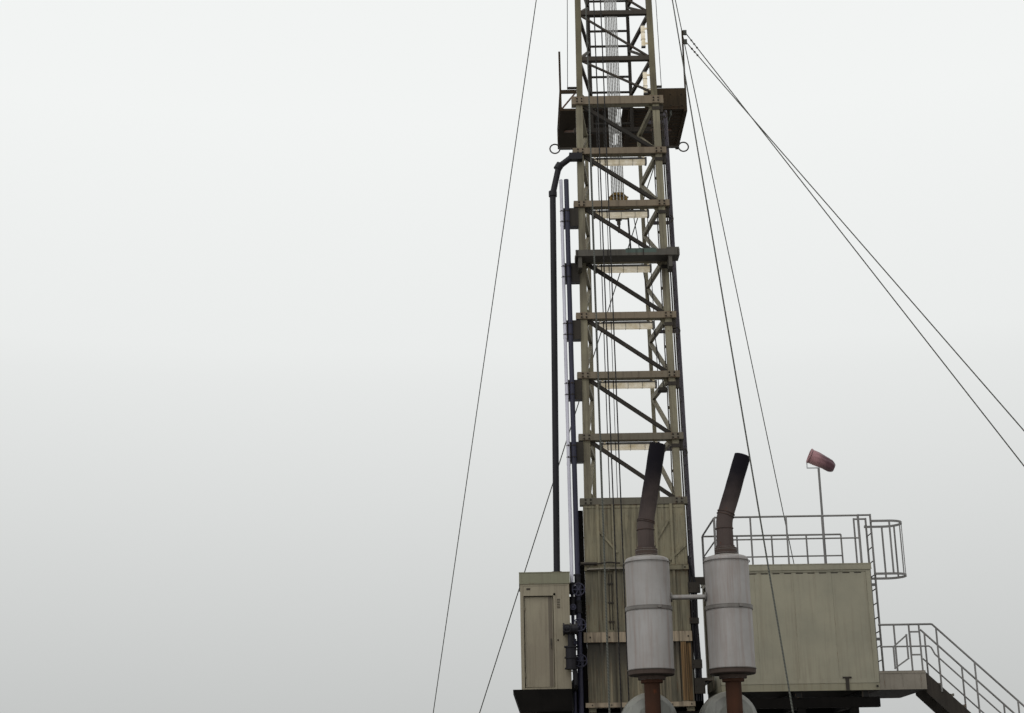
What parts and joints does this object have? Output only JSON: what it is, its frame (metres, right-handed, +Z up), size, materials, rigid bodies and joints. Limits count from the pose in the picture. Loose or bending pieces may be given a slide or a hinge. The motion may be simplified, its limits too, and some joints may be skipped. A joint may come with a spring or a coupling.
{
  "type": "oil drilling rig",
  "caption": "Guyed lattice mast on a raised rig floor, with a racking board, a travelling block, a doghouse with stair and caged ladder, and engines with tall silencers.",
  "frame": {"origin": "middle of the ground area that the rig and its guy anchors cover, at ground level", "axes": "+X along the doghouse toward the stair, +Y from the engines toward the racking side, +Z up"},
  "size_m": [16.95, 25.6, 29.4183],
  "materials": {
    "olive_paint": "weathered satin",
    "dark_steel": "greasy matt",
    "cream_panel": "weathered satin",
    "grey_paint": "weathered satin",
    "rusty_steel": "rusted",
    "worn_deck": "scuffed",
    "yellow_paint": "worn gloss",
    "wire_rope": "dull",
    "sheave_steel": "worn",
    "lamp_cover": "satin",
    "sock_fabric": "faded"
  },
  "bodies": {
    "rig": {"base_beams": "dark_steel", "near_frame": "dark_steel", "middle_frame": "dark_steel", "far_frame": "dark_steel", "doghouse_stand": "dark_steel", "stand_posts": "dark_steel", "floor_joists": "dark_steel", "rig_floor": "worn_deck", "rotary_table": "worn_deck", "floor_rails": "grey_paint", "mast_near_face": "olive_paint", "mast_left_side": "olive_paint", "mast_right_side": "olive_paint", "mast_far_legs": "olive_paint", "mast_diagonals": "dark_steel", "mast_arms": "dark_steel", "wind_walls": "cream_panel", "belly_platform": "dark_steel", "racking_board": "dark_steel", "board_wind_wall": "dark_steel", "upper_near_face": "olive_paint", "upper_left_side": "olive_paint", "upper_right_side": "olive_paint", "upper_far_frame": "dark_steel", "crown_frame": "olive_paint", "crown_sheaves": "sheave_steel", "light_fixtures": "lamp_cover", "standpipe": "dark_steel", "mud_pipe": "dark_steel", "mast_ladder": "dark_steel", "guy_lines": "wire_rope", "ground_anchors": "dark_steel", "drill_lines": "wire_rope", "fast_line": "wire_rope", "drawworks": "olive_paint", "engine_skid": "dark_steel", "engines": "grey_paint", "exhaust_drums": "grey_paint", "exhaust_risers": "rusty_steel", "silencers": "grey_paint", "silencer_outlets": "rusty_steel", "doghouse_floor": "worn_deck", "doghouse_long_walls": "cream_panel", "doghouse_end_walls": "cream_panel", "doghouse_roof": "cream_panel", "roof_rails": "grey_paint", "roof_ladder": "grey_paint", "landing": "cream_panel", "landing_rails": "grey_paint", "stair_stringers": "dark_steel", "stair_treads": "worn_deck", "stair_rails": "grey_paint", "locker_shell": "cream_panel", "locker_platform": "dark_steel", "windsock_pole": "grey_paint"},
    "block": {"travelling_block": "yellow_paint", "block_hook": "sheave_steel"},
    "door": {"locker_door": "cream_panel"},
    "sock": {"windsock_hoop": "grey_paint", "windsock": "sock_fabric"}
  },
  "joints": [
    {"name": "block_travel", "type": "slide", "parent": "rig", "child": "block", "axis": [0, 0, 1], "range_m": [-9.4, 10.6], "deforming": ["drill_lines"]},
    {"name": "locker_door_hinge", "type": "hinge", "parent": "rig", "child": "door", "pos_m": [-4.831, -1.453, 5.18], "axis": [0, 0, -1], "range_deg": [0, 95]},
    {"name": "windsock_swivel", "type": "hinge", "parent": "rig", "child": "sock", "pos_m": [1.745, -0.5, 9], "axis": [0, 0, 1], "continuous": true}
  ]
}
